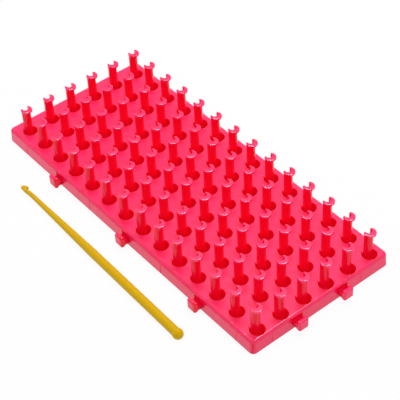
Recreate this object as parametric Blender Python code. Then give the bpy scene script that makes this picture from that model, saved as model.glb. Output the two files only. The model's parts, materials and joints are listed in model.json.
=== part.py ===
"""Peg loom board with its crochet hook.

The board is one hollow moulding: a deck on a drafted skirt, rows of grooved pegs with a
crescent slot round the foot of each, stiffening ribs underneath, and link tabs that stand
out of windows in the front and right walls. Notches in the back and left walls drop over
the tabs of the next board. A loose crochet hook lies in front. X runs along the board,
Y across it, Z up, and everything is in metres.
"""

import math

import bmesh
import bpy
from mathutils import Matrix, Vector

# Peg grid
PITCH = 0.016
COLUMNS = 14
ROWS = 6
PATTERN_SHIFT = 0.0021      # the peg axes sit this far towards +X of the deck's own grid

# Deck
DECK_HEIGHT = 0.0089
DECK_MARGIN = 0.0003        # deck edge beyond the outermost half pitch, at the top
SKIRT_DRAFT = 0.0004        # the bottom rim is this much wider on every side
PLATE_THICKNESS = 0.0012
WALL_THICKNESS = 0.0015
CORNER_RADIUS = 0.0027
EDGE_ROUND = 0.0018
RIB_THICKNESS = 0.0012
RIB_DEPTH = 0.0040
RIB_SPACING = 4             # pitches between ribs
CROSS_RIB_OFFSET = 0.0091   # from a column of the deck's grid to the rib beside it
LONG_RIB_ROW = 0.5          # rows of the grid before the first lengthwise rib

# Pegs: a C-section shaft, open towards -X, under an overhanging lip
PEG_HEIGHT = 0.0167
PEG_ROOT = 0.0009           # depth of the shaft's foot in the plate
LIP_RADIUS = 0.0034
LIP_THICKNESS = 0.0012
LIP_FLARE = 0.0005
SHAFT_OFFSET = -0.0012      # shaft centre from the peg axis
SHAFT_TOP_RADIUS = 0.0026
SHAFT_FOOT_RADIUS = 0.00275
GROOVE_RADIUS = 0.00185
GROOVE_OFFSET = -0.0011     # centre of the groove's round bottom from the peg axis
MOUTH_OFFSET = -0.0021      # flat at the open side of the C, from the peg axis
LIP_SEGMENTS = 5
GROOVE_SEGMENTS = 2

# Crescent slots: round the closed side of each shaft, with a tongue of deck left at its open side
SLOT_RADIUS = 0.0043
SLOT_OFFSET = 0.0003        # centre of the slot's outer arc from the peg axis
SLOT_SWEEP = math.radians(284.0)
SLOT_SEGMENTS = 6
HORN_REACH = 0.0049         # pointed ends of the crescent, from the peg axis
HORN_SPREAD = 0.00224
TONGUE_LAP = 0.0002         # the tongue runs this far past the bottom of the groove
TONGUE_WIDTH = 0.0035

# Link tabs
FRONT_LINK_STATIONS = (2.73, 6.73, 10.73)   # in pitches, on the deck's grid
SIDE_LINK_STATIONS = (1.43, 3.43)
WINDOW_WIDTH = 0.0074
WINDOW_SILL = 0.0030
WINDOW_HEIGHT = 0.0036
HEAD_WIDTH = 0.0065
HEAD_THICKNESS = 0.0021
HEAD_HEIGHT = 0.0070
HEAD_LIFT = 0.0003          # the head hangs just clear of the table
HEAD_CHAMFER = 0.0008
HEAD_STANDOFF = 0.0048      # outer face of the head from the skirt's top edge
NECK_WIDTH = 0.0042
NECK_GAP = 0.0005           # between the neck and the window's sill and lintel
ROOT_THICKNESS = 0.0012     # the neck's root, behind the wall and under the plate
NOTCH_CLEARANCE = 0.0005    # round the neck of the next board's tab
LAP = 0.0004                # depth to which joined forms run into each other

# Crochet hook
HOOK_LENGTH = 0.1488        # centre of the ball to the end of the head
BALL_RADIUS = 0.0032
HANDLE_RADIUS = 0.00275
HANDLE_LENGTH = 0.0770
HANDLE_FRONT_RADIUS = 0.0026
NECK_RADIUS = 0.00142
NECK_START = 0.0154         # from the end of the head
HOOK_HEAD = (               # way from the end, sideways shift, half width, half thickness
    (0.01140, 0.00000, 0.00142, 0.00142),
    (0.00900, -0.00005, 0.00142, 0.00142),
    (0.00720, -0.00018, 0.00140, 0.00138),
    (0.00580, -0.00044, 0.00126, 0.00134),
    (0.00470, -0.00060, 0.00116, 0.00130),
    (0.00432, -0.00055, 0.00120, 0.00128),
    (0.00400, 0.00020, 0.00195, 0.00124),
    (0.00320, 0.00028, 0.00200, 0.00120),
    (0.00220, 0.00010, 0.00190, 0.00112),
    (0.00120, -0.00005, 0.00165, 0.00100),
    (0.00050, -0.00012, 0.00125, 0.00080),
    (0.00000, -0.00015, 0.00075, 0.00050))
THROAT_LENGTH = 0.0009      # clear way behind the beak
THROAT_DEPTH = 0.0030
THROAT_END = 0.0046         # middle of the throat from the end of the head
THROAT_SIDE = 0.0017        # and sideways from the hook's axis
THROAT_SLANT = math.radians(-15.0)
HOOK_SIDES = 12
BALL_STEPS = 7
HOOK_DISTANCE = 0.0212      # ball centre out from the skirt's front rim
HOOK_STATION = 11.36        # ball centre along the deck's grid, in pitches
HOOK_YAW = math.radians(-0.93)

RED_PLASTIC = (0.84, 0.035, 0.10, 1.0)
YELLOW_PLASTIC = (0.72, 0.41, 0.008, 1.0)
OVERCUT = 0.0010            # cutters run this far past the faces that they open

DECK_LENGTH = COLUMNS * PITCH + 2 * DECK_MARGIN
DECK_WIDTH = ROWS * PITCH + 2 * DECK_MARGIN
INNER_LENGTH = DECK_LENGTH - 2 * WALL_THICKNESS
INNER_WIDTH = DECK_WIDTH - 2 * WALL_THICKNESS
RIM_LENGTH = DECK_LENGTH + 2 * SKIRT_DRAFT
RIM_WIDTH = DECK_WIDTH + 2 * SKIRT_DRAFT
PLATE_BOTTOM = DECK_HEIGHT - PLATE_THICKNESS
RIB_BOTTOM = PLATE_BOTTOM - RIB_DEPTH
WINDOW_TOP = WINDOW_SILL + WINDOW_HEIGHT
NECK_BOTTOM = WINDOW_SILL + NECK_GAP
NECK_TOP = WINDOW_TOP - NECK_GAP


def grid_x(column):
    """X of a column on the deck's own grid, which is centred on the deck."""
    return (column - (COLUMNS - 1) / 2) * PITCH


def grid_y(row):
    """Y of a row of pegs."""
    return (row - (ROWS - 1) / 2) * PITCH


def peg_axes():
    """Places of the peg axes on the deck."""
    columns = [grid_x(column) + PATTERN_SHIFT for column in range(COLUMNS)]
    return [(x, grid_y(row)) for x in columns for row in range(ROWS)]


def clear_scene():
    """Remove every object that the file opened with."""
    for item in list(bpy.data.objects):
        bpy.data.objects.remove(item, do_unlink=True)


def plastic(name, colour, roughness):
    """A moulded plastic in one colour."""
    material = bpy.data.materials.new(name)
    material.use_nodes = True
    shader = material.node_tree.nodes["Principled BSDF"]
    shader.inputs["Base Color"].default_value = colour
    shader.inputs["Roughness"].default_value = roughness
    shader.inputs["Metallic"].default_value = 0.0
    return material


def add_object(name, mesh, parent=None, material=None):
    """Link a named object under its parent, in its material."""
    item = bpy.data.objects.new(name, mesh)
    bpy.context.scene.collection.objects.link(item)
    if material is not None:
        mesh.materials.append(material)
    item.parent = parent
    return item


def finish_mesh(bm, name, smooth_angle=math.radians(40.0)):
    """Turn a bmesh into a mesh with outward faces, smooth below an angle."""
    bmesh.ops.recalc_face_normals(bm, faces=bm.faces)
    mesh = bpy.data.meshes.new(name)
    bm.to_mesh(mesh)
    bm.free()
    mesh.shade_smooth()
    mesh.set_sharp_from_angle(angle=smooth_angle)
    return mesh


def loft(bm, rings):
    """Skin closed rings of equally many points, and cap the first and the last."""
    loops = [[bm.verts.new(point) for point in ring] for ring in rings]
    for lower, upper in zip(loops, loops[1:]):
        for k in range(len(lower)):
            nxt = (k + 1) % len(lower)
            bm.faces.new((lower[k], lower[nxt], upper[nxt], upper[k]))
    bm.faces.new(reversed(loops[0]))
    bm.faces.new(loops[-1])


def at_height(outline, z):
    """Lift a flat outline to a height."""
    return [Vector((x, y, z)) for x, y in outline]


def rectangle(length, width, centre=(0.0, 0.0)):
    """Corners of a rectangle, counter-clockwise."""
    x, y = centre
    a, b = length / 2, width / 2
    return [(x - a, y - b), (x + a, y - b), (x + a, y + b), (x - a, y + b)]


def rounded_rectangle(length, width, radius, steps=4):
    """A rectangle with round corners, counter-clockwise."""
    outline = []
    for quarter, (sx, sy) in enumerate(((1, 1), (-1, 1), (-1, -1), (1, -1))):
        cx, cy = sx * (length / 2 - radius), sy * (width / 2 - radius)
        for k in range(steps + 1):
            angle = (quarter + k / steps) * math.pi / 2
            outline.append((cx + radius * math.cos(angle), cy + radius * math.sin(angle)))
    return outline


def box(bm, length, width, bottom, top, centre=(0.0, 0.0)):
    """A block between two heights."""
    outline = rectangle(length, width, centre)
    loft(bm, [at_height(outline, bottom), at_height(outline, top)])


def combine(item, operation, name, bm):
    """Cut a hidden form, in the object's own place, out of an object, or join it on."""
    form = add_object(name, finish_mesh(bm, name), item.parent)
    form.location, form.rotation_euler = item.location, item.rotation_euler
    form.hide_render = True
    form.display_type = "WIRE"
    modifier = item.modifiers.new(name, "BOOLEAN")
    modifier.operation = operation
    modifier.solver = "EXACT"
    modifier.object = form


def deck_block():
    """The deck's outer form: drafted skirt, round corners and a rounded top edge."""
    bm = bmesh.new()
    rings = [at_height(rounded_rectangle(RIM_LENGTH, RIM_WIDTH, CORNER_RADIUS + SKIRT_DRAFT), 0.0)]
    steps = 3
    for k in range(steps + 1):
        angle = k / steps * math.pi / 2
        inset = EDGE_ROUND * (1 - math.cos(angle))
        z = DECK_HEIGHT - EDGE_ROUND * (1 - math.sin(angle))
        length, width = DECK_LENGTH - 2 * inset, DECK_WIDTH - 2 * inset
        rings.append(at_height(rounded_rectangle(length, width, CORNER_RADIUS - inset), z))
    loft(bm, rings)
    return bm


def deck_cavity():
    """The hollow inside the skirt, up to the ribs."""
    bm = bmesh.new()
    box(bm, INNER_LENGTH, INNER_WIDTH, -OVERCUT, RIB_BOTTOM)
    return bm


def cell_spans(limit, ribs):
    """Clear spans between ribs, and between the outer ribs and the walls."""
    half = RIB_THICKNESS / 2
    starts = [-limit] + [rib + half for rib in ribs]
    ends = [rib - half for rib in ribs] + [limit]
    return list(zip(starts, ends))


def rib_cells():
    """The cells between the ribs under the plate."""
    bm = bmesh.new()
    cross_ribs = [grid_x(c) + CROSS_RIB_OFFSET for c in range(0, COLUMNS - 1, RIB_SPACING)]
    long_ribs = [grid_y(r + LONG_RIB_ROW) for r in range(0, ROWS - 1, RIB_SPACING)]
    for x0, x1 in cell_spans(INNER_LENGTH / 2, cross_ribs):
        for y0, y1 in cell_spans(INNER_WIDTH / 2, long_ribs):
            centre = (x0 + x1) / 2, (y0 + y1) / 2
            box(bm, x1 - x0, y1 - y0, RIB_BOTTOM - LAP, PLATE_BOTTOM, centre)
    return bm


def slot_outline():
    """The crescent round a shaft, whose horns lie on either side of the tongue."""
    outline = []
    for k in range(SLOT_SEGMENTS + 1):
        angle = SLOT_SWEEP * (k / SLOT_SEGMENTS - 0.5)
        outline.append((SLOT_OFFSET + SLOT_RADIUS * math.cos(angle), SLOT_RADIUS * math.sin(angle)))
    tongue_end = GROOVE_OFFSET + GROOVE_RADIUS + TONGUE_LAP
    half = TONGUE_WIDTH / 2
    outline += [(-HORN_REACH, HORN_SPREAD), (tongue_end, half)]
    outline += [(tongue_end, -half), (-HORN_REACH, -HORN_SPREAD)]
    return outline


def peg_slots():
    """One crescent slot through the plate for every peg."""
    bm = bmesh.new()
    for x, y in peg_axes():
        outline = [(x + dx, y + dy) for dx, dy in slot_outline()]
        loft(bm, [at_height(outline, PLATE_BOTTOM - LAP), at_height(outline, DECK_HEIGHT + OVERCUT)])
    return bm


def wall_openings(side, width, bottom, top):
    """Openings at the link stations: of the front and right walls for side -1, back and left for side 1."""
    bm = bmesh.new()
    depth = WALL_THICKNESS + SKIRT_DRAFT + 2 * OVERCUT
    y = side * (INNER_WIDTH / 2 - OVERCUT + depth / 2)
    for station in FRONT_LINK_STATIONS:
        box(bm, width, depth, bottom, top, (grid_x(station), y))
    x = -side * (INNER_LENGTH / 2 - OVERCUT + depth / 2)
    for station in SIDE_LINK_STATIONS:
        box(bm, depth, width, bottom, top, (x, grid_y(station)))
    return bm


def link_windows():
    """Closed windows behind the tabs, in the front and right walls."""
    return wall_openings(-1, WINDOW_WIDTH, WINDOW_SILL, WINDOW_TOP)


def link_notches():
    """Notches up from the rim for the necks of the next board's tabs, in the back and left walls."""
    return wall_openings(1, NECK_WIDTH + 2 * NOTCH_CLEARANCE, -OVERCUT, NECK_TOP + NOTCH_CLEARANCE)


def peg_levels():
    """Height, centre and radius of the rings of a peg, from its foot to its top."""
    top = DECK_HEIGHT + PEG_HEIGHT
    lip_bottom = top - LIP_THICKNESS
    return [(DECK_HEIGHT - PEG_ROOT, SHAFT_OFFSET, SHAFT_FOOT_RADIUS),
            (lip_bottom - LIP_FLARE, SHAFT_OFFSET, SHAFT_TOP_RADIUS),
            (lip_bottom, 0.0, LIP_RADIUS),
            (top, 0.0, LIP_RADIUS)]


def peg_arc(centre, radius):
    """Outer arc of a peg's section, from tip to tip round its closed side."""
    reach = math.acos((MOUTH_OFFSET - centre) / radius)
    angles = [reach * (2 * k / LIP_SEGMENTS - 1) for k in range(LIP_SEGMENTS + 1)]
    return [(centre + radius * math.cos(angle), radius * math.sin(angle)) for angle in angles]


def groove_outline():
    """The groove of a peg's section, from one side of its mouth to the other."""
    angles = [math.pi * (0.5 - k / GROOVE_SEGMENTS) for k in range(GROOVE_SEGMENTS + 1)]
    bottom = [(GROOVE_OFFSET + GROOVE_RADIUS * math.cos(a), GROOVE_RADIUS * math.sin(a)) for a in angles]
    return [(MOUTH_OFFSET, GROOVE_RADIUS)] + bottom + [(MOUTH_OFFSET, -GROOVE_RADIUS)]


def add_peg(bm, x, y):
    """A peg round an axis: stepped outer faces, and groove faces that run its whole height."""
    levels = peg_levels()
    arcs = []
    for z, centre, radius in levels:
        arc = [(x + dx, y + dy) for dx, dy in peg_arc(centre, radius)]
        arcs.append([bm.verts.new(point) for point in at_height(arc, z)])
    foot, top = levels[0][0], levels[-1][0]
    groove = [(x + dx, y + dy) for dx, dy in groove_outline()]
    low, high = [[bm.verts.new(point) for point in at_height(groove, z)] for z in (foot, top)]
    for lower, upper in zip(arcs, arcs[1:]):
        for k in range(LIP_SEGMENTS):
            bm.faces.new((lower[k], lower[k + 1], upper[k + 1], upper[k]))
    for k in range(len(low) - 1):
        bm.faces.new((low[k], low[k + 1], high[k + 1], high[k]))
    for end, side in ((-1, 0), (0, -1)):
        bm.faces.new([arc[end] for arc in arcs] + [high[side], low[side]])
    bm.faces.new(list(reversed(arcs[0] + low)))
    bm.faces.new(arcs[-1] + high)


def pegs():
    """All the pegs of the board."""
    bm = bmesh.new()
    for x, y in peg_axes():
        add_peg(bm, x, y)
    return bm


def neck_profile():
    """Side outline of a tab's neck and root, measured outwards from the wall's top edge."""
    tip = HEAD_STANDOFF - HEAD_THICKNESS + LAP
    root_in, root_out = -WALL_THICKNESS - ROOT_THICKNESS, -WALL_THICKNESS + LAP
    root_top = PLATE_BOTTOM + LAP
    return [(root_in, NECK_BOTTOM), (tip, NECK_BOTTOM), (tip, NECK_TOP),
            (root_out, NECK_TOP), (root_out, root_top), (root_in, root_top)]


def head_profile():
    """Side outline of a tab's upright head."""
    back, front = HEAD_STANDOFF - HEAD_THICKNESS, HEAD_STANDOFF
    low, high = HEAD_LIFT, HEAD_LIFT + HEAD_HEIGHT
    bevel = HEAD_CHAMFER
    return [(back, low), (front - bevel, low), (front, low + bevel),
            (front, high - bevel), (front - bevel, high), (back, high)]


def tab_forms(profile, width):
    """One side outline, given a width, at every tab of the front and right walls."""
    bm = bmesh.new()
    for station in FRONT_LINK_STATIONS:
        sides = [grid_x(station) + side * width / 2 for side in (-1, 1)]
        loft(bm, [[Vector((x, -DECK_WIDTH / 2 - out, z)) for out, z in profile] for x in sides])
    for station in SIDE_LINK_STATIONS:
        sides = [grid_y(station) + side * width / 2 for side in (-1, 1)]
        loft(bm, [[Vector((DECK_LENGTH / 2 + out, y, z)) for out, z in profile] for y in sides])
    return bm


def make_peg_board(origin, material):
    """The moulded board, with everything that is moulded on it."""
    board = add_object("peg_board", finish_mesh(deck_block(), "peg_board"), origin, material)
    combine(board, "DIFFERENCE", "deck_cavity", deck_cavity())
    combine(board, "DIFFERENCE", "rib_cells", rib_cells())
    combine(board, "DIFFERENCE", "peg_slots", peg_slots())
    combine(board, "DIFFERENCE", "link_windows", link_windows())
    combine(board, "DIFFERENCE", "link_notches", link_notches())
    combine(board, "UNION", "pegs", pegs())
    combine(board, "UNION", "tab_necks", tab_forms(neck_profile(), NECK_WIDTH))
    combine(board, "UNION", "tab_heads", tab_forms(head_profile(), HEAD_WIDTH))


def hook_stations():
    """Sections of the hook: way from the ball's centre, sideways shift, half width, half thickness."""
    stations = []
    for k in range(BALL_STEPS):
        angle = math.pi * (k + 0.5) / (BALL_STEPS + 1)
        radius = BALL_RADIUS * math.sin(angle)
        if angle > math.pi / 2 and radius < HANDLE_RADIUS:
            break
        stations.append((-BALL_RADIUS * math.cos(angle), 0.0, radius, radius))
    joint = math.sqrt(BALL_RADIUS ** 2 - HANDLE_RADIUS ** 2)
    stations.append((joint, 0.0, HANDLE_RADIUS, HANDLE_RADIUS))
    stations.append((HANDLE_LENGTH, 0.0, HANDLE_FRONT_RADIUS, HANDLE_FRONT_RADIUS))
    stations.append((HOOK_LENGTH - NECK_START, 0.0, NECK_RADIUS, NECK_RADIUS))
    for from_end, aside, half_width, half_thickness in HOOK_HEAD:
        stations.append((HOOK_LENGTH - from_end, aside, half_width, half_thickness))
    return stations


def hook_rings(stations):
    """Oval rings across the hook, one at each station along -X."""
    turns = [2 * math.pi * side / HOOK_SIDES for side in range(HOOK_SIDES)]
    return [[Vector((-along, aside + half_width * math.cos(turn), half_thickness * math.sin(turn)))
             for turn in turns] for along, aside, half_width, half_thickness in stations]


def hook_throat():
    """The slanted cut that leaves a beak on the hook's head."""
    bm = bmesh.new()
    box(bm, THROAT_LENGTH, THROAT_DEPTH, -BALL_RADIUS, BALL_RADIUS)
    bmesh.ops.rotate(bm, verts=bm.verts, matrix=Matrix.Rotation(THROAT_SLANT, 3, "Z"))
    bmesh.ops.translate(bm, verts=bm.verts, vec=(THROAT_END - HOOK_LENGTH, THROAT_SIDE, 0.0))
    return bm


def make_crochet_hook(origin, material):
    """The loose hook, resting on its ball and on the front end of its handle."""
    bm = bmesh.new()
    loft(bm, hook_rings(hook_stations()))
    hook = add_object("crochet_hook", finish_mesh(bm, "crochet_hook"), origin, material)
    hook.location = (grid_x(HOOK_STATION), -RIM_WIDTH / 2 - HOOK_DISTANCE, BALL_RADIUS)
    lean = math.asin((BALL_RADIUS - HANDLE_FRONT_RADIUS) / HANDLE_LENGTH)
    hook.rotation_euler = (0.0, -lean, HOOK_YAW)
    combine(hook, "DIFFERENCE", "hook_throat", hook_throat())


def footprint_centre():
    """Middle of the floor area that the board, its tabs and the crochet hook cover together."""
    right = DECK_LENGTH / 2 + HEAD_STANDOFF
    left = -RIM_LENGTH / 2
    back = RIM_WIDTH / 2
    front = -RIM_WIDTH / 2 - HOOK_DISTANCE - BALL_RADIUS
    return (left + right) / 2, (front + back) / 2


def main():
    """Build the board and the hook round one origin, centred under the whole footprint."""
    clear_scene()
    origin = add_object("board_origin", None)
    centre_x, centre_y = footprint_centre()
    origin.location = (-centre_x, -centre_y, 0.0)
    make_peg_board(origin, plastic("red_pink_plastic", RED_PLASTIC, 0.28))
    make_crochet_hook(origin, plastic("yellow_plastic", YELLOW_PLASTIC, 0.38))


main()
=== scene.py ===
"""Peg loom board with its crochet hook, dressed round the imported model.

The board is one glossy red-pink moulding: a hollow deck with a crescent slot round every peg,
grooved pegs under overhanging lips, and link tabs on two sides. The yellow hook lies in front.
Both stand on a white studio table. Sizes are in metres, X runs along the board and Z up.
"""

from __future__ import annotations

import json
import logging
import math
from collections.abc import Callable, Iterator, Sequence
from contextlib import contextmanager
from dataclasses import dataclass
from enum import Enum
from functools import cached_property

import bmesh
import bpy
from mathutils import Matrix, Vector

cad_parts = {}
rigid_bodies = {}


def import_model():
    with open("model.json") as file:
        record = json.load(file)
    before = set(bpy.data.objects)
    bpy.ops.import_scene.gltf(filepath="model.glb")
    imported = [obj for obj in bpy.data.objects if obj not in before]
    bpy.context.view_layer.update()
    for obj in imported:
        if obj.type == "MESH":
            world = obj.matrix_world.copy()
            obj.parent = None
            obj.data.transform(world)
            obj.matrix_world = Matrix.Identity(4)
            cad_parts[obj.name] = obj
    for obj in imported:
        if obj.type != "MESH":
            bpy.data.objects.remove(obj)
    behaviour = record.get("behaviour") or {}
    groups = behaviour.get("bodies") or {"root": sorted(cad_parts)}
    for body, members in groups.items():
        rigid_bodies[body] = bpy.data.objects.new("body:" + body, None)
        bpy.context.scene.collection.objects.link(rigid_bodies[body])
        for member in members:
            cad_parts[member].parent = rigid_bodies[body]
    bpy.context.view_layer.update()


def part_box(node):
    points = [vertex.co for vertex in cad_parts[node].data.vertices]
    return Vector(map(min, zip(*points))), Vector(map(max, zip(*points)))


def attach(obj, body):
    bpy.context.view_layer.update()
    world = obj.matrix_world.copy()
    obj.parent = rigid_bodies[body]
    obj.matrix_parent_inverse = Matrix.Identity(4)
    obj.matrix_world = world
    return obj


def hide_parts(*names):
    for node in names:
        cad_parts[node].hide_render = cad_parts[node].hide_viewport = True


Pair = tuple[float, float]
Triple = tuple[float, float, float]
Item = bpy.types.Object
Socket = bpy.types.NodeSocket
LOG = logging.getLogger("peg_loom")
TINY = 0.00002
OVERCUT = 0.0010
STEEP = 0.9
GRAIN_NOISE = (900.0, 3.0)
FLOW_NOISE = (1.0, 4.0)
WAVE_NOISE, WAVE_HEIGHT = (55.0, 1.5), 0.0010
PEEL_NOISE, PEEL_HEIGHT = (1500.0, 2.0), 0.0002
NOISE_MIDDLE = (0.3, 0.7)
PLASTIC_IOR = 1.52
WHITE = (1.0, 1.0, 1.0, 1.0)


class Cut(Enum):
    """What a form does to the piece that it is combined with."""

    AWAY = "DIFFERENCE"
    ON = "UNION"


class Body(Enum):
    """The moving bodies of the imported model."""

    BOARD = "board"
    HOOK = "hook"


def only(item: Item) -> None:
    """Select one object alone and make it the active one.

    Args:
        item: the object.
    """
    bpy.ops.object.select_all(action="DESELECT")
    item.select_set(True)
    bpy.context.view_layer.objects.active = item


def settle(item: Item) -> Item:
    """Put an object's place, turn and scale into its mesh.

    Args:
        item: the object.

    Returns:
        The same object.
    """
    only(item)
    bpy.ops.object.transform_apply(location=True, rotation=True, scale=True)
    return item


def named(name: str) -> Item:
    """Name the primitive that was just added, put its place into its mesh and return it."""
    bpy.context.object.name = name
    return settle(bpy.context.object)


@contextmanager
def editing(item: Item) -> Iterator[None]:
    """Hold one object in edit mode, with nothing of it selected at the start.

    Args:
        item: the object.
    """
    only(item)
    bpy.ops.object.mode_set(mode="EDIT")
    bpy.ops.mesh.select_all(action="DESELECT")
    yield
    bpy.ops.object.mode_set(mode="OBJECT")


def pick(kind: str, test: Callable[[object], bool]) -> Vector:
    """Select the points, edges or faces of the edited mesh that pass a test.

    Args:
        kind: "VERT", "EDGE" or "FACE".
        test: takes one bmesh element and says whether it is wanted.

    Returns:
        The middle of what was selected.
    """
    mesh = bpy.context.object.data
    bpy.ops.mesh.select_mode(type=kind)
    bpy.ops.mesh.select_all(action="DESELECT")
    shape = bmesh.from_edit_mesh(mesh)
    elements = {"VERT": shape.verts, "EDGE": shape.edges, "FACE": shape.faces}[kind]
    wanted = [element for element in elements if test(element)]
    for element in wanted:
        element.select_set(True)
    shape.select_flush_mode()
    bmesh.update_edit_mesh(mesh)
    points = [vert.co for vert in shape.verts if vert.select]
    return sum(points, Vector()) / max(len(points), 1)


def level_edge(height: float) -> Callable[[bmesh.types.BMEdge], bool]:
    """A test for the edges that lie at one height."""
    return lambda edge: all(abs(vert.co.z - height) < TINY for vert in edge.verts)


def rising_edge(edge: bmesh.types.BMEdge) -> bool:
    """Say whether an edge runs steeply up."""
    run = edge.verts[1].co - edge.verts[0].co
    return abs(run.z) > STEEP * run.length


def stretch(shares: Triple, about: Triple) -> None:
    """Resize what is selected in the edited mesh about a point."""
    bpy.ops.transform.resize(value=shares, center_override=about)


def round_edges(radius: float, steps: int) -> None:
    """Round the selected edges of the edited mesh."""
    bpy.ops.mesh.bevel(offset=radius, segments=steps, profile=0.5, affect="EDGES")


def block(name: str, low: Sequence[float], high: Sequence[float]) -> Item:
    """Add a block between two corners.

    Args:
        name: the object's name.
        low: its lowest corner.
        high: its highest corner.

    Returns:
        The block, with its place in its mesh.
    """
    low, high = Vector(low), Vector(high)
    bpy.ops.object.select_all(action="DESELECT")
    bpy.ops.mesh.primitive_cube_add(size=1.0, location=(low + high) / 2)
    bpy.context.object.scale = high - low
    return named(name)


def post(name: str, radius: float, centre: Pair, low: float, high: float,
         sides: int) -> Item:
    """Add an upright cylinder.

    Args:
        name: the object's name.
        radius: of the cylinder.
        centre: X and Y of its axis.
        low: height of its foot.
        high: height of its top.
        sides: flat sides that it is made of.

    Returns:
        The cylinder, with its place in its mesh.
    """
    bpy.ops.object.select_all(action="DESELECT")
    bpy.ops.mesh.primitive_cylinder_add(
        vertices=sides, radius=radius, depth=high - low, location=(*centre, (low + high) / 2))
    return named(name)


def drop(item: Item) -> None:
    """Remove an object that has served its turn."""
    bpy.data.objects.remove(item, do_unlink=True)


def combine(item: Item, form: Item, cut: Cut) -> None:
    """Cut a form away from a piece or join it on, and remove the form.

    Args:
        item: the piece that stays.
        form: the closed form that is used up.
        cut: what it does to the piece.
    """
    modifier = item.modifiers.new(form.name, "BOOLEAN")
    modifier.operation = cut.value
    modifier.solver = "MANIFOLD"
    modifier.object = form
    only(item)
    bpy.ops.object.modifier_apply(modifier=modifier.name)
    drop(form)


def repeat(item: Item, places: Sequence[Pair],
           turn: float = 0.0) -> list[Item]:
    """Copy an object to several places on the table, each copy with its own mesh.

    Args:
        item: the object that is copied; it stays.
        places: X and Y of each copy.
        turn: angle about Z that each copy is turned by.

    Returns:
        The copies.
    """
    copies = []
    for x, y in places:
        twin = item.copy()
        twin.data = item.data.copy()
        bpy.context.scene.collection.objects.link(twin)
        twin.location = (x, y, 0.0)
        twin.rotation_euler = (0.0, 0.0, turn)
        copies.append(settle(twin))
    return copies


def join(items: Sequence[Item]) -> Item:
    """Make one object of several that don't overlap.

    Args:
        items: the objects; the first one takes up the others.

    Returns:
        The one object.
    """
    only(items[0])
    for item in items[1:]:
        item.select_set(True)
    bpy.ops.object.join()
    return bpy.context.object


def smooth(item: Item, angle: float) -> None:
    """Shade a piece smooth below an angle, with its flat faces kept flat.

    Args:
        item: the piece.
        angle: edges sharper than this stay sharp.
    """
    only(item)
    bpy.ops.object.shade_smooth_by_angle(angle=angle)
    modifier = item.modifiers.new("even_normals", "WEIGHTED_NORMAL")
    modifier.keep_sharp = True
    bpy.ops.object.modifier_apply(modifier=modifier.name)


class Web:
    """The node tree of a material or world, with short ways to add and link nodes."""

    def __init__(self, owner: bpy.types.Material | bpy.types.World) -> None:
        """Start with an empty tree."""
        owner.use_nodes = True
        self.tree = owner.node_tree
        self.tree.nodes.clear()

    def add(self, kind: str, **values: object) -> bpy.types.Node:
        """Add a node.

        Args:
            kind: the node's type name, without ShaderNode in front.
            values: input values, or node settings, by name with _ for a space.

        Returns:
            The node.
        """
        node = self.tree.nodes.new(f"ShaderNode{kind}")
        for key, value in values.items():
            socket = key.replace("_", " ")
            if socket in node.inputs:
                node.inputs[socket].default_value = value
            else:
                setattr(node, key, value)
        return node

    def link(self, source: Socket, target: Socket) -> None:
        """Link two sockets."""
        self.tree.links.new(source, target)

    def sum(self, operation: str, first: Socket, second: Socket | float,
            clamp: bool = False) -> Socket:
        """Work out one operation of a Math node.

        Args:
            operation: the node's operation.
            first: socket that it starts from.
            second: socket or number that it works with.
            clamp: keep the result between nought and one.

        Returns:
            The result's socket.
        """
        node = self.add("Math", operation=operation, use_clamp=clamp)
        self.link(first, node.inputs[0])
        if isinstance(second, Socket):
            self.link(second, node.inputs[1])
        else:
            node.inputs[1].default_value = second
        return node.outputs[0]

    @cached_property
    def coords(self) -> Socket:
        """The piece's own coordinates."""
        return self.add("TexCoord").outputs["Object"]

    @cached_property
    def parts(self) -> bpy.types.NodeOutputs:
        """The X, Y and Z sockets of the piece's own coordinates."""
        split = self.add("SeparateXYZ")
        self.link(self.coords, split.inputs[0])
        return split.outputs

    def aways(self, centre: Pair) -> list[Socket]:
        """How far a point lies from a place on the table, along X and along Y, either way."""
        return [self.sum("ABSOLUTE", self.sum("SUBTRACT", self.parts[axis], middle), 0.0)
                for axis, middle in zip("XY", centre)]

    def between(self, value: Socket, low: float, high: float) -> Socket:
        """Mask what lies between two limits.

        Args:
            value: the number that is tested.
            low: lower limit.
            high: upper limit.

        Returns:
            A socket that is one between them, else nought.
        """
        inside = self.sum("COMPARE", value, (low + high) / 2)
        inside.node.inputs[2].default_value = (high - low) / 2
        return inside

    def blend(self, share: Socket, first: object, second: object) -> Socket:
        """Mix two colours.

        Args:
            share: how much of the second.
            first: a colour or a colour socket.
            second: a colour or a colour socket.

        Returns:
            The mixed colour's socket.
        """
        node = self.add("Mix", data_type="RGBA")
        self.link(share, node.inputs[0])
        for socket, value in zip((node.inputs[6], node.inputs[7]), (first, second)):
            if isinstance(value, Socket):
                self.link(value, socket)
            else:
                socket.default_value = (*value, 1.0)
        return node.outputs[2]

    def noise(self, coords: Socket, scale: float, detail: float) -> Socket:
        """A noise texture's value on given coordinates.

        Args:
            coords: where the noise is read.
            scale: of the noise.
            detail: its levels of finer noise.

        Returns:
            The value's socket.
        """
        node = self.add("TexNoise", Scale=scale, Detail=detail)
        self.link(coords, node.inputs["Vector"])
        return node.outputs["Fac"]

    def span(self, value: Socket, low: float, high: float) -> Socket:
        """Spread a noise value over a range of numbers.

        Args:
            value: the noise.
            low: what its low values become.
            high: what its high values become.

        Returns:
            The number's socket.
        """
        node = self.add("MapRange")
        limits = (*NOISE_MIDDLE, low, high)
        for key, number in zip(("From Min", "From Max", "To Min", "To Max"), limits):
            node.inputs[key].default_value = number
        self.link(value, node.inputs["Value"])
        return node.outputs["Result"]


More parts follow.
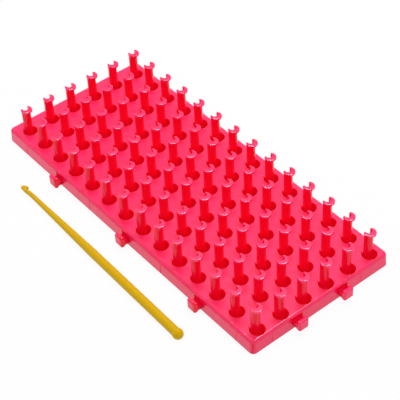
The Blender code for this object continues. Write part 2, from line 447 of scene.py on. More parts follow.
@dataclass
class PegGrid:
    """Places on the board, measured from the middle of its deck."""

    pitch: float = 0.016
    columns: int = 14
    rows: int = 6
    shift: float = 0.0021
    front_links: tuple[float, ...] = (2.81, 6.81, 10.81)
    side_links: tuple[float, ...] = (1.386, 3.386)
    front_marks: tuple[float, ...] = (0.68, 4.66, 8.75, 12.71)
    side_marks: tuple[float, ...] = (0.30, 4.25)

    def x(self, column: float) -> float:
        """X of a column of the deck's grid."""
        return (column - (self.columns - 1) / 2) * self.pitch

    def y(self, row: float) -> float:
        """Y of a row of pegs."""
        return (row - (self.rows - 1) / 2) * self.pitch

    def pegs(self) -> list[Pair]:
        """Places of the peg axes."""
        return [(self.x(column) + self.shift, self.y(row))
                for column in range(self.columns) for row in range(self.rows)]


@dataclass(frozen=True)
class MouldedPlastic:
    """A coloured, slightly translucent moulded plastic, with a painted glow in its own colour."""

    name: str
    slot: str
    colour: Triple
    deeper: Triple
    gloss: Pair
    glow_depth: float
    glow_colour: Triple
    glow_share: float
    # Painted glow: an even emission in the glow colour that brightens the plastic's shaded faces, though
    # it is no lamp.
    painted_glow: float
    shine: Triple
    polish: float
    flow_scale: Triple
    ripple: float
    peel: float

    def make(self) -> bpy.types.Material:
        """Build the material.

        Returns:
            The material.
        """
        material = bpy.data.materials.new(self.name)
        web = Web(material)
        # The emission is a painted glow that lights the plastic's shade as if light shone through it.
        shader = web.add(
            "BsdfPrincipled", Metallic=0.0, IOR=PLASTIC_IOR, Subsurface_Weight=self.glow_share,
            Subsurface_Radius=self.glow_colour, Subsurface_Scale=self.glow_depth,
            Specular_Tint=(*self.shine, 1.0), Emission_Color=(*self.glow_colour, 1.0),
            Emission_Strength=self.painted_glow)
        self.set_polish(web, shader)
        web.link(self.tint(web), shader.inputs["Base Color"])
        web.link(self.sheen(web), shader.inputs["Roughness"])
        web.link(self.relief(web), shader.inputs["Normal"])
        output = web.add("OutputMaterial")
        web.link(shader.outputs["BSDF"], output.inputs["Surface"])
        return material

    def set_polish(self, web: Web, shader: bpy.types.Node) -> None:
        """Let the whole piece reflect with one strength."""
        shader.inputs["Specular IOR Level"].default_value = self.polish

    def sheen(self, web: Web) -> Socket:
        """Roughness with a fine grain, as a socket."""
        return web.span(web.noise(web.coords, *GRAIN_NOISE), *self.gloss)

    def tint(self, web: Web) -> Socket:
        """Colour that drifts a little along the way the melt flowed.

        Args:
            web: the material's nodes.

        Returns:
            The colour socket.
        """
        flow = web.add("Mapping", Scale=self.flow_scale)
        web.link(web.coords, flow.inputs["Vector"])
        share = web.span(web.noise(flow.outputs["Vector"], *FLOW_NOISE), 0.0, 1.0)
        return web.blend(share, self.colour, self.deeper)

    def relief(self, web: Web) -> Socket:
        """Slow waves of the moulded skin, under a fine orange peel.

        Args:
            web: the material's nodes.

        Returns:
            The normal socket.
        """
        waves = web.add("Bump", Strength=self.ripple, Distance=WAVE_HEIGHT)
        web.link(web.noise(web.coords, *WAVE_NOISE), waves.inputs["Height"])
        skin = web.add("Bump", Strength=self.peel, Distance=PEEL_HEIGHT)
        web.link(web.noise(web.coords, *PEEL_NOISE), skin.inputs["Height"])
        web.link(waves.outputs["Normal"], skin.inputs["Normal"])
        return skin.outputs["Normal"]


@dataclass(frozen=True)
class PegBoardPlastic(MouldedPlastic):
    """Plastic with a satin deck face, and painted shade: a deeper colour on the polished pegs and slots, a
    darker one on the tab necks.
    """

    # Painted shade: the pegs below their lips, the slots and the inside of the board get this deeper
    # colour.
    painted_peg_shade: Triple
    # Painted shade: the necks of the link tabs get this darker colour.
    painted_neck_shade: Triple
    peg_polish: float
    lip_polish: float
    peg_reach: float
    lip_height: float
    satin: Pair
    deck_height: float
    top: float
    origin: Pair
    pitch: float
    middle: Pair
    skirt: Pair
    neck_gap: Pair
    neck_span: Pair

    def flat_faces(self, web: Web) -> Socket:
        """One on the flat face of the deck and on the tops of the lips, else nought."""
        height = web.parts["Z"]
        levels = (self.deck_height, self.top)
        return web.sum("MAXIMUM", *(web.between(height, level - TINY, level + TINY) for level in levels))

    def peg_zone(self, web: Web) -> Socket:
        """One on the pegs, below their lips, and in the slots, else nought.

        Args:
            web: the material's nodes.

        Returns:
            The mask socket.
        """
        x, y = self.origin
        shift = web.add("Mapping", Location=(-x, -y, 0.0), Scale=(1.0, 1.0, 0.0))
        web.link(web.coords, shift.inputs["Vector"])
        wrap = web.add("VectorMath", operation="WRAP")
        wrap.inputs[1].default_value = (self.pitch / 2,) * 3
        wrap.inputs[2].default_value = (-self.pitch / 2,) * 3
        web.link(shift.outputs["Vector"], wrap.inputs[0])
        reach = web.add("VectorMath", operation="LENGTH")
        web.link(wrap.outputs["Vector"], reach.inputs[0])
        near = web.sum("LESS_THAN", reach.outputs["Value"], self.peg_reach)
        elsewhere = web.sum("ADD", self.flat_faces(web), self.lips(web))
        return web.sum("SUBTRACT", near, elsewhere, clamp=True)

    def lips(self, web: Web) -> Socket:
        """One on the lips of the pegs, else nought."""
        return web.sum("GREATER_THAN", web.parts["Z"], self.lip_height)

    def outwards(self, web: Web) -> Socket:
        """How far out from the top of the skirt's face, less than nought behind it."""
        aways = zip(web.aways(self.middle), self.skirt)
        return web.sum("MAXIMUM", *(web.sum("SUBTRACT", away, half) for away, half in aways))

    def hidden(self, web: Web) -> Socket:
        """One inside the board, below the tops of the tabs' windows, else nought."""
        behind = web.sum("LESS_THAN", self.outwards(web), -self.neck_gap[0])
        return web.sum("MULTIPLY", behind, web.sum("LESS_THAN", web.parts["Z"], self.neck_span[1]))

    def recesses(self, web: Web) -> Socket:
        """One on the necks of the link tabs, between wall and head, where darker shade is painted, else
        nought.
        """
        gap = web.between(self.outwards(web), *self.neck_gap)
        return web.sum("MULTIPLY", gap, web.between(web.parts["Z"], *self.neck_span))

    def painted_shade_zone(self, web: Web) -> Socket:
        """One wherever the deeper colour of painted shade goes, else nought; the reflection is lowered
        there too.
        """
        inside = web.sum("MAXIMUM", self.hidden(web), self.recesses(web))
        return web.sum("MAXIMUM", self.peg_zone(web), inside)

    def set_polish(self, web: Web, shader: bpy.types.Node) -> None:
        """Let the pegs and slots reflect less than the skin, and the rims of the lips more.

        Args:
            web: the material's nodes.
            shader: the plastic's shader node.
        """
        level = web.sum("MULTIPLY_ADD", self.painted_shade_zone(web), self.peg_polish - self.polish)
        level.node.inputs[2].default_value = self.polish
        rims = web.sum("SUBTRACT", self.lips(web), self.flat_faces(web), clamp=True)
        rise = web.sum("MULTIPLY", rims, self.lip_polish - self.polish)
        web.link(web.sum("ADD", level, rise), shader.inputs["Specular IOR Level"])

    def sheen(self, web: Web) -> Socket:
        """Roughness: polished, but satin on the deck.

        Args:
            web: the material's nodes.

        Returns:
            The roughness socket.
        """
        fine = web.noise(web.coords, *GRAIN_NOISE)
        mix = web.add("Mix", data_type="FLOAT")
        web.link(self.flat_faces(web), mix.inputs[0])
        web.link(web.span(fine, *self.gloss), mix.inputs[2])
        web.link(web.span(fine, *self.satin), mix.inputs[3])
        return mix.outputs[0]

    def tint(self, web: Web) -> Socket:
        """The drifting colour of the skin, with painted shade: a deeper colour on the pegs and slots and a
        darker one on the tab necks.

        Args:
            web: the material's nodes.

        Returns:
            The colour socket.
        """
        # Paint the deeper shade colour on the pegs, slots and inside of the board.
        skin = web.blend(self.painted_shade_zone(web), super().tint(web), self.painted_peg_shade)
        # Paint the darker shade colour on the tab necks.
        return web.blend(self.recesses(web), skin, self.painted_neck_shade)


# The hook's emission (painted_glow) is a painted glow on top of its own ochre colour.
OCHRE = MouldedPlastic(
    name="ochre_moulding", slot="yellow_plastic", colour=(0.57, 0.345, 0.003),
    deeper=(0.53, 0.315, 0.003), gloss=(0.32, 0.40), glow_depth=0.0010,
    glow_colour=(1.0, 0.60, 0.004), glow_share=0.20, painted_glow=0.13, shine=(0.9, 0.60, 0.05),
    polish=0.4, flow_scale=(20.0, 160.0, 160.0), ripple=0.05, peel=0.012)


@dataclass
class Peg:
    """A C-section shaft, open towards -X, under an overhanging lip."""

    foot: float
    top: float
    lip_radius: float = 0.0034
    lip_thickness: float = 0.0012
    flare: float = 0.0005
    shaft_offset: float = -0.0012
    shaft_top_radius: float = 0.0026
    shaft_foot_radius: float = 0.00275
    groove_radius: float = 0.00185
    groove_offset: float = -0.0011
    mouth: float = -0.0021
    dome: tuple[Pair, ...] = (
        (0.97, 0.00018), (0.955, 0.00002), (0.87, 0.000075), (0.84, 0.000018))
    mouth_round: float = 0.00022
    mouth_steps: int = 2
    mouth_angle: float = 0.6
    sides: int = 40
    groove_sides: int = 24

    def model(self) -> Item:
        """Model one peg about the Z axis.

        Returns:
            The peg.
        """
        lip_low = self.top - self.lip_thickness
        shaft_top = lip_low - self.flare
        axis = (self.shaft_offset, 0.0)
        peg = post("peg", self.shaft_foot_radius, axis, self.foot, shaft_top, self.sides)
        with editing(peg):
            pick("FACE", lambda face: face.normal.z > STEEP)
            share = self.shaft_top_radius / self.shaft_foot_radius
            stretch((share, share, 1.0), (*axis, shaft_top))
            flare = (-self.shaft_offset, 0.0, self.flare)
            self.raise_top(flare, self.lip_radius / self.shaft_top_radius, lip_low)
            height = self.top - sum(rise for _, rise in self.dome)
            self.raise_top((0.0, 0.0, height - lip_low), 1.0, height)
            last = 1.0
            for share, rise in self.dome:
                height += rise
                self.raise_top((0.0, 0.0, rise), share / last, height)
                last = share
            bpy.ops.mesh.select_all(action="SELECT")
            bpy.ops.mesh.bisect(plane_co=(self.mouth, 0.0, 0.0), plane_no=(1.0, 0.0, 0.0),
                                use_fill=True, clear_inner=True)
        combine(peg, self.groove(), Cut.AWAY)
        self.ease_edges(peg)
        return peg

    @staticmethod
    def raise_top(step: Triple, share: float, height: float) -> None:
        """Extrude the selected top face and resize it.

        Args:
            step: how far the new face moves.
            share: its new size, as a share of the old.
            height: where it then is.
        """
        bpy.ops.mesh.extrude_region_move(TRANSFORM_OT_translate={"value": step})
        stretch((share, share, 1.0), (0.0, 0.0, height))

    def groove(self) -> Item:
        """Model the groove, which runs out through the open side of the peg.

        Returns:
            Its form, with a round bottom.
        """
        form = post("groove", self.groove_radius, (self.groove_offset, 0.0), self.foot - OVERCUT,
                    self.top + OVERCUT, self.groove_sides)
        with editing(form):
            pick("VERT", lambda vert: vert.co.x < self.groove_offset - TINY)
            bpy.ops.transform.translate(value=(-2 * self.groove_radius, 0.0, 0.0))
        return form

    def ease_edges(self, peg: Item) -> None:
        """Round the corners of the mouth.

        Args:
            peg: the peg, with its groove cut.
        """
        with editing(peg):
            pick("EDGE", lambda edge: rising_edge(edge) and edge.calc_face_angle(0.0) > self.mouth_angle
                 and all(abs(vert.co.x - self.mouth) < TINY for vert in edge.verts))
            round_edges(self.mouth_round, self.mouth_steps)


@dataclass
class CrescentSlot:
    """The slot round the closed side of a peg's foot: rounded at its rim, narrower downwards."""

    bottom: float
    deck_top: float
    radius: float = 0.0043
    offset: float = 0.0003
    horn: Pair = (-0.0049, 0.00224)
    tongue_end: float = 0.00095
    tongue_half_width: float = 0.00175
    horn_zone: float = 0.86
    rim_round: float = 0.00035
    rim_steps: tuple[float, ...] = (0.0, 25.0, 50.0, 75.0)
    rim_tail: float = 0.0002
    narrowing: float = 0.82
    sides: int = 40

    def model(self) -> Item:
        """Model one slot about the Z axis.

        Returns:
            The slot's form.
        """
        straight_top = self.deck_top - self.rim_round
        slot = post("slot", self.radius, (self.offset, 0.0), self.bottom, straight_top, self.sides)
        combine(slot, self.tongue(), Cut.AWAY)
        with editing(slot):
            for side in (-1, 1):
                corner = pick("VERT", lambda vert: vert.co.x < self.offset - self.horn_zone * self.radius
                              and vert.co.y * side > 0)
                tip = Vector((self.horn[0], side * self.horn[1], corner.z))
                bpy.ops.transform.translate(value=tip - corner)
            pick("VERT", lambda vert: vert.co.z < self.bottom + TINY)
            stretch((self.narrowing, self.narrowing, 1.0), (self.offset, 0.0, self.bottom))
            self.round_rim(straight_top)
        return slot

    def tongue(self) -> Item:
        """Model the wedge of deck that is left at the open side of the peg.

        Returns:
            The wedge.
        """
        reach, half = self.horn[0], self.tongue_half_width
        form = block("tongue", (reach, -half, self.bottom - OVERCUT),
                     (self.tongue_end, half, self.deck_top + OVERCUT))
        with editing(form):
            pick("VERT", lambda vert: vert.co.x < reach + TINY)
            stretch((1.0, self.horn[1] / half, 1.0), (reach, 0.0, 0.0))
        return form

    def round_rim(self, straight_top: float) -> None:
        """Raise rings on the slot's form and spread them into a quarter round.

        Args:
            straight_top: height where the round begins.
        """
        angles = [math.radians(degrees) for degrees in self.rim_steps]
        rises = [self.rim_round * math.sin(angle) for angle in angles]
        spreads = [self.rim_round * (1.0 - math.cos(angle)) for angle in angles]
        rises.append(rises[-1] + self.rim_tail)
        spreads.append(spreads[-1] + self.rim_tail * math.tan(angles[-1]))
        rises.append(rises[-1] + self.rim_tail)
        pick("FACE", lambda face: face.normal.z > STEEP)
        for low, high in zip(rises, rises[1:]):
            bpy.ops.mesh.extrude_region_move(TRANSFORM_OT_translate={"value": (0.0, 0.0, high - low)})
        for rise, spread in list(zip(rises, spreads))[1:]:
            pick("VERT", lambda vert: abs(vert.co.z - straight_top - rise) < TINY)
            bpy.ops.transform.shrink_fatten(value=spread)


@dataclass
class LinkTab:
    """A tab on the front wall: a neck out through the window, and an upright head."""

    wall: float
    wall_thickness: float
    plate_bottom: float
    neck_low: float = 0.0033
    neck_high: float = 0.0050
    neck_width: float = 0.0070
    root_thickness: float = 0.0012
    head_width: float = 0.0065
    head_height: float = 0.0070
    head_thickness: float = 0.0021
    head_lift: float = 0.00165
    standoff: float = 0.00575
    head_round: float = 0.0009
    side_steps: int = 4
    face_steps: int = 3
    head_angle: float = 0.9
    lap: float = 0.0004

    def model(self) -> Item:
        """Model one tab at X = 0, pointing towards -Y.

        Returns:
            The tab.
        """
        half = self.neck_width / 2
        inner = -self.wall + self.wall_thickness
        outer = -self.wall - self.standoff
        neck = block("neck", (-half, outer + self.head_thickness - self.lap, self.neck_low),
                     (half, inner + self.root_thickness, self.neck_high))
        root = block("root", (-half, inner - self.lap, self.neck_low + self.lap),
                     (half, inner + self.root_thickness, self.plate_bottom + self.lap))
        combine(neck, root, Cut.ON)
        half = self.head_width / 2
        head = block("head", (-half, outer, self.head_lift),
                     (half, outer + self.head_thickness, self.head_lift + self.head_height))
        with editing(head):
            pick("EDGE", lambda edge: abs(edge.verts[0].co.x - edge.verts[1].co.x) < TINY
                 and abs(edge.verts[0].co.z - edge.verts[1].co.z) < TINY)
            round_edges(self.head_round, self.side_steps)
            pick("EDGE", lambda edge: edge.calc_face_angle(0.0) > self.head_angle
                 and all(abs(vert.co.y - outer) < TINY for vert in edge.verts))
            round_edges(self.head_round, self.face_steps)
        combine(neck, head, Cut.ON)
        return neck


@dataclass
class PegBoard:
    """The moulded board: deck, skirt, ribs, slots, pegs and link tabs in one piece."""

    grid: PegGrid
    centre: Pair
    top: float
    deck_height: float = 0.0089
    margin: float = 0.0003
    draft: float = 0.0004
    plate: float = 0.0012
    wall: float = 0.0015
    corner: float = 0.0027
    edge_round: float = 0.0018
    corner_steps: int = 8
    rim_round: float = 0.00025
    rim_steps: int = 2
    rib: float = 0.0012
    rib_depth: float = 0.0040
    rib_spacing: int = 4
    cross_rib_offset: float = 0.0091
    long_rib_row: float = 0.5
    sleeve_radius: float = 0.0056
    sleeve_bottom: float = 0.0007
    sleeve_sides: int = 32
    window: Triple = (0.0076, 0.0030, 0.0074)
    notch: Pair = (0.0078, 0.0066)
    mark: Pair = (0.0005, 0.00018)
    mark_span: Pair = (0.0012, 0.0074)
    smooth_angle: float = math.radians(42.0)

    def __post_init__(self) -> None:
        """Work out the sizes that follow from the grid."""
        self.length = self.grid.columns * self.grid.pitch + 2 * self.margin
        self.width = self.grid.rows * self.grid.pitch + 2 * self.margin
        self.inner = (self.length / 2 - self.wall, self.width / 2 - self.wall)
        self.plate_bottom = self.deck_height - self.plate
        self.rib_bottom = self.plate_bottom - self.rib_depth

    def build(self) -> Item:
        """Build the board, dress it and set it on its body.

        Returns:
            The finished piece.
        """
        board = self.shell()
        combine(board, self.hollow(), Cut.AWAY)
        combine(board, self.rib_cells(), Cut.AWAY)
        combine(board, self.wall_cuts(-1, *self.window), Cut.AWAY)
        combine(board, self.wall_cuts(1, self.notch[0], -OVERCUT, self.notch[1]), Cut.AWAY)
        combine(board, self.sleeves(), Cut.ON)
        combine(board, self.slots(), Cut.AWAY)
        combine(board, self.pegs(), Cut.ON)
        combine(board, self.tabs(), Cut.ON)
        combine(board, self.sink_marks(), Cut.AWAY)
        self.clear_voids(board)
        board.location = (*self.centre, 0.0)
        settle(board)
        smooth(board, self.smooth_angle)
        finish = self.plastic()
        board.data.materials.clear()
        board.data.materials.append(finish.make())
        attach(board, Body.BOARD.value)
        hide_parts("peg_board")
        return board

    @staticmethod
    def clear_voids(board: Item) -> None:
        """Remove the closed slivers that the joins leave inside the plastic.

        Args:
            board: the moulding, with all its forms joined.
        """
        with editing(board):
            pick("VERT", lambda vert: vert.co.z < TINY)
            bpy.ops.mesh.select_linked()
            bpy.ops.mesh.select_all(action="INVERT")
            bpy.ops.mesh.delete(type="VERT")

    def plastic(self) -> PegBoardPlastic:
        """Set the board's red-pink plastic, lined up with its pegs and tabs.

        Returns:
            The finish.
        """
        x, y = self.grid.pegs()[0]
        return PegBoardPlastic(
            name="red_pink_moulding", slot="red_pink_plastic", colour=(0.95, 0.011, 0.118),
            deeper=(0.92, 0.010, 0.104), gloss=(0.10, 0.15), glow_depth=0.0020,
            # The emission strength here is a painted glow.
            glow_colour=(1.0, 0.004, 0.03), glow_share=0.30, painted_glow=0.12,
            shine=(1.0, 0.75, 1.0), polish=0.5, flow_scale=(14.0, 30.0, 30.0), ripple=0.08, peel=0.010,
            # The peg and neck colours are painted shade, deeper and darker copies of the plastic's red.
            painted_peg_shade=(0.87, 0.0012, 0.026), painted_neck_shade=(0.56, 0.0008, 0.022), peg_polish=0.30,
            lip_polish=0.9, peg_reach=0.0048, lip_height=self.top - Peg.lip_thickness, satin=(0.42, 0.50),
            deck_height=self.deck_height, top=self.top, pitch=self.grid.pitch,
            origin=(self.centre[0] + x, self.centre[1] + y), middle=self.centre,
            skirt=(self.length / 2, self.width / 2),
            neck_span=(self.window[1] - TINY, self.window[2] + TINY),
            neck_gap=(self.draft * (1 - self.window[1] / self.deck_height) + TINY,
                      LinkTab.standoff - LinkTab.head_thickness - TINY))

    def shell(self) -> Item:
        """Model the outer form: drafted skirt, round corners and a rounded top edge.

        Returns:
            The solid form.
        """
        board = block("peg_board_moulding", (-self.length / 2, -self.width / 2, 0.0),
                      (self.length / 2, self.width / 2, self.deck_height))
        spread = (1 + 2 * self.draft / self.length, 1 + 2 * self.draft / self.width, 1.0)
        with editing(board):
            pick("VERT", lambda vert: vert.co.z < TINY)
            stretch(spread, (0.0, 0.0, 0.0))
            pick("EDGE", rising_edge)
            round_edges(self.corner, self.corner_steps)
            pick("EDGE", level_edge(self.deck_height))
            round_edges(self.edge_round, self.corner_steps)
            pick("EDGE", level_edge(0.0))
            round_edges(self.rim_round, self.rim_steps)
        return board

    def hollow(self) -> Item:
        """The hollow inside the skirt, up to the ribs."""
        x, y = self.inner
        return block("hollow", (-x, -y, -OVERCUT), (x, y, self.rib_bottom))

    def spans(self, limit: float, ribs: Sequence[float]) -> list[Pair]:
        """Clear spans between ribs.

        Args:
            limit: half the inner size of the skirt along the span.
            ribs: middles of the ribs.

        Returns:
            Start and end of each span.
        """
        starts = [-limit, *(middle + self.rib / 2 for middle in ribs)]
        ends = [*(middle - self.rib / 2 for middle in ribs), limit]
        return list(zip(starts, ends))

    def rib_cells(self) -> Item:
        """Model the cells between the ribs under the plate.

        Returns:
            All the cells as one object.
        """
        grid, step = self.grid, self.rib_spacing
        cross = [grid.x(column) + self.cross_rib_offset for column in range(0, grid.columns - 1, step)]
        along = [grid.y(row + self.long_rib_row) for row in range(0, grid.rows - 1, step)]
        low = self.rib_bottom - OVERCUT
        return join([block("cell", (x0, y0, low), (x1, y1, self.plate_bottom))
                     for x0, x1 in self.spans(self.inner[0], cross)
                     for y0, y1 in self.spans(self.inner[1], along)])

    def wall_cuts(self, side: int, width: float, low: float, high: float) -> Item:
        """Openings through the walls at the link stations.

        Args:
            side: -1 for the front and right walls, 1 for the back and left walls.
            width: of each opening.
            low: height of its sill.
            high: height of its lintel.

        Returns:
            All the openings' forms as one object.
        """
        half, reach = width / 2, self.wall + self.draft + OVERCUT
        ends, rows = ((inner - OVERCUT, inner + reach) for inner in self.inner)
        left, right = sorted(-side * end for end in ends)
        front, back = sorted(side * row for row in rows)
        forms = [block("opening", (x - half, front, low), (x + half, back, high))
                 for x in map(self.grid.x, self.grid.front_links)]
        forms += [block("opening", (left, y - half, low), (right, y + half, high))
                  for y in map(self.grid.y, self.grid.side_links)]
        return join(forms)

    def at_pegs(self, item: Item) -> Item:
        """Copy a form to every peg's place, and use it up.

        Args:
            item: the form about the Z axis.

        Returns:
            The copies as one object.
        """
        forms = join(repeat(item, self.grid.pegs()))
        drop(item)
        return forms

    def slots(self) -> Item:
        """A crescent slot's form for every peg, as one object."""
        return self.at_pegs(CrescentSlot(self.sleeve_bottom - OVERCUT, self.deck_height).model())

    def sleeves(self) -> Item:
        """A round sleeve under the plate for every slot, as one object."""
        top = self.plate_bottom + self.plate / 2
        return self.at_pegs(
            post("sleeve", self.sleeve_radius, (0.0, 0.0), self.sleeve_bottom, top, self.sleeve_sides))

    def pegs(self) -> Item:
        """All the pegs, as one object."""
        return self.at_pegs(Peg(self.plate_bottom + TINY, self.top).model())

    def tabs(self) -> Item:
        """All the link tabs, as one object."""
        tab = LinkTab(self.width / 2, self.wall, self.plate_bottom).model()
        return self.along_walls(tab, self.grid.front_links, self.grid.side_links)

    def sink_marks(self) -> Item:
        """Model shallow upright lines where the ribs meet the front and right walls.

        Returns:
            All the lines as one object.
        """
        half, depth = self.mark[0] / 2, self.mark[1]
        low, high = self.mark_span
        slope = self.draft / self.deck_height
        inner = -self.width / 2 - slope * (self.deck_height - high) + depth
        line = block("sink_mark", (-half, inner - self.wall, low), (half, inner, high))
        with editing(line):
            pick("VERT", lambda vert: vert.co.z < low + TINY)
            bpy.ops.transform.translate(value=(0.0, -slope * (high - low), 0.0))
        return self.along_walls(line, self.grid.front_marks, self.grid.side_marks)

    def along_walls(self, item: Item, front: Sequence[float],
                    side: Sequence[float]) -> Item:
        """Copy a form along the front and right walls, and use it up.

        Args:
            item: the form at the middle of the front wall.
            front: columns of the grid where it stands on the front wall.
            side: rows of the grid where it stands on the right wall.

        Returns:
            The copies as one object.
        """
        forms = repeat(item, [(self.grid.x(station), 0.0) for station in front])
        shift = (self.length - self.width) / 2
        forms += repeat(item, [(shift, self.grid.y(station)) for station in side], math.pi / 2)
        drop(item)
        return join(forms)


@dataclass
class CrochetHook:
    """The loose hook: a ball end, a handle, a long taper, and a head with a slanted throat."""

    grid: PegGrid
    centre: Pair
    front_rim: float
    length: float = 0.1488
    ball_radius: float = 0.0032
    handle_radius: float = 0.00275
    handle_length: float = 0.0770
    handle_front_radius: float = 0.0026
    neck_radius: float = 0.00142
    neck_start: float = 0.0154
    head: tuple[tuple[float, float, float, float], ...] = (
        (0.01140, 0.00000, 0.00142, 0.00142), (0.00900, -0.00005, 0.00142, 0.00142),
        (0.00720, -0.00018, 0.00140, 0.00138), (0.00580, -0.00044, 0.00126, 0.00134),
        (0.00470, -0.00060, 0.00116, 0.00130), (0.00432, -0.00055, 0.00120, 0.00128),
        (0.00400, 0.00020, 0.00195, 0.00124), (0.00320, 0.00028, 0.00200, 0.00120),
        (0.00220, 0.00010, 0.00190, 0.00112), (0.00120, -0.00005, 0.00165, 0.00100),
        (0.00050, -0.00012, 0.00125, 0.00080), (0.00000, -0.00015, 0.00075, 0.00050))
    throat_length: float = 0.0009
    throat_depth: float = 0.0030
    throat_end: float = 0.0046
    throat_side: float = 0.0017
    throat_slant: float = math.radians(-15.0)
    throat_round: float = 0.45
    throat_steps: int = 4
    sides: int = 24
    ring_levels: int = 2
    ball_steps: int = 10
    ball_start: float = 0.4
    handle_shares: tuple[float, ...] = (0.1, 0.5, 0.97)
    taper_shares: tuple[float, ...] = (0.03, 0.35, 0.65, 0.97)
    smooth_angle: float = math.radians(50.0)
    distance: float = 0.0212
    station: float = 11.36
    yaw: float = math.radians(-0.93)
    finish: MouldedPlastic = OCHRE

    def stations(self) -> list[tuple[float, float, float, float]]:
        """Work out the sections from the ball to the tip.

        Returns:
            Way along, sideways shift, half width and half thickness of each.
        """
        joint = math.pi - math.asin(self.handle_radius / self.ball_radius)
        last, first = self.ball_steps, self.ball_start
        angles = [joint * (step + first) / (last + first) for step in range(last + 1)]
        rounds = [(-self.ball_radius * math.cos(angle), self.ball_radius * math.sin(angle))
                  for angle in angles]
        bends = ((0.0, self.handle_radius), (self.handle_length, self.handle_front_radius),
                 (self.length - self.neck_start, self.neck_radius))
        runs = zip((self.handle_shares, self.taper_shares), bends, bends[1:])
        for shares, (start, thick), (end, thin) in runs:
            rounds += [(start + (end - start) * share, thick + (thin - thick) * share) for share in shares]
        sections = [(along, 0.0, radius, radius) for along, radius in rounds]
        return sections + [(self.length - from_end, *rest) for from_end, *rest in self.head]

    def rod(self) -> Item:
        """Draw one ring out from section to section.

        Returns:
            The hook without its throat.
        """
        sections = self.stations()
        along, aside, wide, thick = sections[0]
        bpy.ops.object.select_all(action="DESELECT")
        bpy.ops.mesh.primitive_circle_add(vertices=self.sides, radius=1.0, fill_type="NGON",
                                          rotation=(0.0, math.pi / 2, 0.0))
        rod = named("crochet_hook_moulding")
        with editing(rod):
            bpy.ops.mesh.select_all(action="SELECT")
            stretch((1.0, wide, thick), (0.0, 0.0, 0.0))
            bpy.ops.transform.translate(value=(-along, aside, 0.0))
            for step in sections[1:]:
                move = (along - step[0], step[1] - aside, 0.0)
                bpy.ops.mesh.extrude_region_move(TRANSFORM_OT_translate={"value": move})
                stretch((1.0, step[2] / wide, step[3] / thick), (-step[0], step[1], 0.0))
                along, aside, wide, thick = step
            bpy.ops.mesh.select_all(action="SELECT")
            bpy.ops.mesh.normals_make_consistent(inside=False)
        modifier = rod.modifiers.new("even_rings", "SUBSURF")
        modifier.levels = modifier.render_levels = self.ring_levels
        only(rod)
        bpy.ops.object.modifier_apply(modifier=modifier.name)
        return rod

    def throat(self) -> Item:
        """Model the slanted form that leaves a beak on the head.

        Returns:
            The form.
        """
        form = block("throat", (-self.throat_length / 2, -self.throat_depth / 2, -self.ball_radius),
                     (self.throat_length / 2, self.throat_depth / 2, self.ball_radius))
        with editing(form):
            pick("EDGE", rising_edge)
            round_edges(self.throat_round * self.throat_length, self.throat_steps)
        form.rotation_euler = (0.0, 0.0, self.throat_slant)
        form.location = (self.throat_end - self.length, self.throat_side, 0.0)
        return settle(form)

    def build(self) -> Item:
        """Build the hook, dress it and set it on its body.

        Returns:
            The finished piece.
        """
        hook = self.rod()
        combine(hook, self.throat(), Cut.AWAY)
        lean = math.asin((self.ball_radius - self.handle_front_radius) / self.handle_length)
        hook.rotation_euler = (0.0, -lean, self.yaw)
        hook.location = (self.centre[0] + self.grid.x(self.station), self.front_rim - self.distance,
                         self.ball_radius)
        settle(hook)
        smooth(hook, self.smooth_angle)
        hook.data.materials.clear()
        hook.data.materials.append(self.finish.make())
        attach(hook, Body.HOOK.value)
        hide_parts("crochet_hook")
        return hook


@dataclass(frozen=True)
class SoftLamp:
    """A rectangular lamp that faces the board."""

    name: str
    place: Triple
    size: Pair
    power: float

    def hang(self, target: Pair) -> None:
        """Hang the lamp and turn it.

        Args:
            target: X and Y of the place on the table that it faces.
        """
        data = bpy.data.lights.new(self.name, "AREA")
        data.shape = "RECTANGLE"
        data.size, data.size_y = self.size
        data.energy = self.power
        lamp = bpy.data.objects.new(self.name, data)
        lamp.location = self.place
        aim = Vector((*target, 0.0)) - Vector(self.place)
        lamp.rotation_euler = aim.to_track_quat("-Z", "Y").to_euler()
        bpy.context.scene.collection.objects.link(lamp)


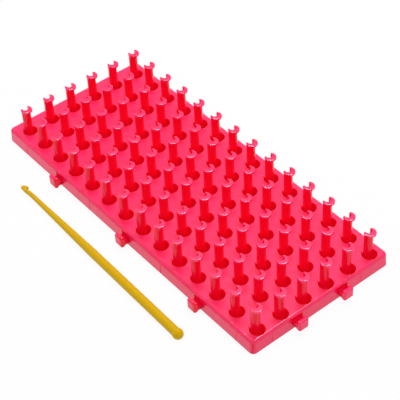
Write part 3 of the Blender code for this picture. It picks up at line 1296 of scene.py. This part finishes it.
@dataclass
class Studio:
    """White table, soft lamps and the camera at the photograph's viewing angle."""

    centre: Pair
    shade: Pair
    camera_place: Triple = (0.44948961, -0.31796625, 0.53974085)
    camera_turn: Triple = (0.80036534, 0.04397376, 0.88544983)
    lens: float = 121.47
    sensor: float = 36.0
    nearest: float = 0.01
    sky: float = 0.45
    table: float = 4.0
    paint: float = 0.85
    whiteness: float = 0.94
    lamps: tuple[SoftLamp, ...] = (
        SoftLamp("soft_lamp", (-0.10, 0.30, 1.25), (1.40, 1.40), 2.8),
        SoftLamp("strip_lamp", (-0.15, 0.32, 1.15), (0.90, 0.26), 8.8))

    def build(self) -> None:
        """Set up the table, the sky, the lamps and the camera."""
        bpy.context.scene.view_settings.view_transform = "Standard"
        self.add_table()
        self.add_sky()
        for lamp in self.lamps:
            lamp.hang(self.centre)
        self.add_camera()

    def add_camera(self) -> None:
        """Place the camera and make it the scene's."""
        data = bpy.data.cameras.new("camera")
        data.lens = self.lens
        data.sensor_width = self.sensor
        data.sensor_fit = "HORIZONTAL"
        data.clip_start = self.nearest
        camera = bpy.data.objects.new("camera", data)
        camera.location = self.camera_place
        camera.rotation_euler = self.camera_turn
        bpy.context.scene.collection.objects.link(camera)
        bpy.context.scene.camera = camera

    @staticmethod
    def seen_directly(web: Web) -> Socket:
        """One where a ray comes from the camera, a reflection or a clear piece, else nought."""
        rays = web.add("LightPath").outputs
        reflected = web.sum("MAXIMUM", rays["Is Glossy Ray"], rays["Is Transmission Ray"])
        return web.sum("MAXIMUM", rays["Is Camera Ray"], reflected)

    def add_sky(self) -> None:
        """An even white sky: plain white where it is seen, softer where it lights."""
        world = bpy.data.worlds.new("white_sky")
        bpy.context.scene.world = world
        web = Web(world)
        seen = web.add("Background", Strength=1.0, Color=WHITE)
        light = web.add("Background", Strength=self.sky, Color=WHITE)
        mix = web.add("MixShader")
        web.link(self.seen_directly(web), mix.inputs[0])
        web.link(light.outputs[0], mix.inputs[1])
        web.link(seen.outputs[0], mix.inputs[2])
        web.link(mix.outputs[0], web.add("OutputWorld").inputs["Surface"])

    def open_table(self, web: Web) -> Socket:
        """How white the table shows: nearly full, but nought in the hollow under the board.

        Args:
            web: the table's nodes.

        Returns:
            The share's socket.
        """
        aways = zip(web.aways(self.centre), self.shade)
        outside = web.sum("MAXIMUM", *(web.sum("GREATER_THAN", away, reach) for away, reach in aways))
        return web.sum("MULTIPLY", outside, self.whiteness)

    def add_table(self) -> None:
        """A white table that shows as plain white round the board, and keeps a light shadow."""
        bpy.ops.object.select_all(action="DESELECT")
        bpy.ops.mesh.primitive_plane_add(size=2 * self.table, location=(0.0, 0.0, -TINY))
        floor = named("table_top")
        material = bpy.data.materials.new("white_table")
        web = Web(material)
        paint = web.add("BsdfDiffuse", Color=(self.paint, self.paint, self.paint, 1.0))
        white = web.add("Emission", Strength=1.0)
        mix = web.add("MixShader")
        web.link(web.sum("MULTIPLY", self.seen_directly(web), self.open_table(web)), mix.inputs[0])
        web.link(paint.outputs[0], mix.inputs[1])
        web.link(white.outputs[0], mix.inputs[2])
        web.link(mix.outputs[0], web.add("OutputMaterial").inputs["Surface"])
        floor.data.materials.append(material)


def clear_start() -> None:
    """Remove what the file opened with."""
    for item in list(bpy.data.objects):
        drop(item)


def main() -> None:
    """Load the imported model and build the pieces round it."""
    logging.basicConfig(level=logging.INFO, format="%(name)s: %(message)s")
    clear_start()
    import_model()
    low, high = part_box("peg_board")
    grid = PegGrid()
    probe = PegBoard(grid, (0.0, 0.0), high.z)
    rim = (probe.length / 2 + probe.draft, probe.width / 2 + probe.draft)
    centre = (low.x + rim[0], high.y - rim[1])
    pieces = [PegBoard(grid, centre, high.z), CrochetHook(grid, centre, centre[1] - rim[1])]
    for piece in pieces:
        item = piece.build()
        item.data.calc_loop_triangles()
        LOG.info("%s: %d triangles", item.name, len(item.data.loop_triangles))
    Studio(centre, probe.inner).build()


if __name__ == "__main__":
    main()
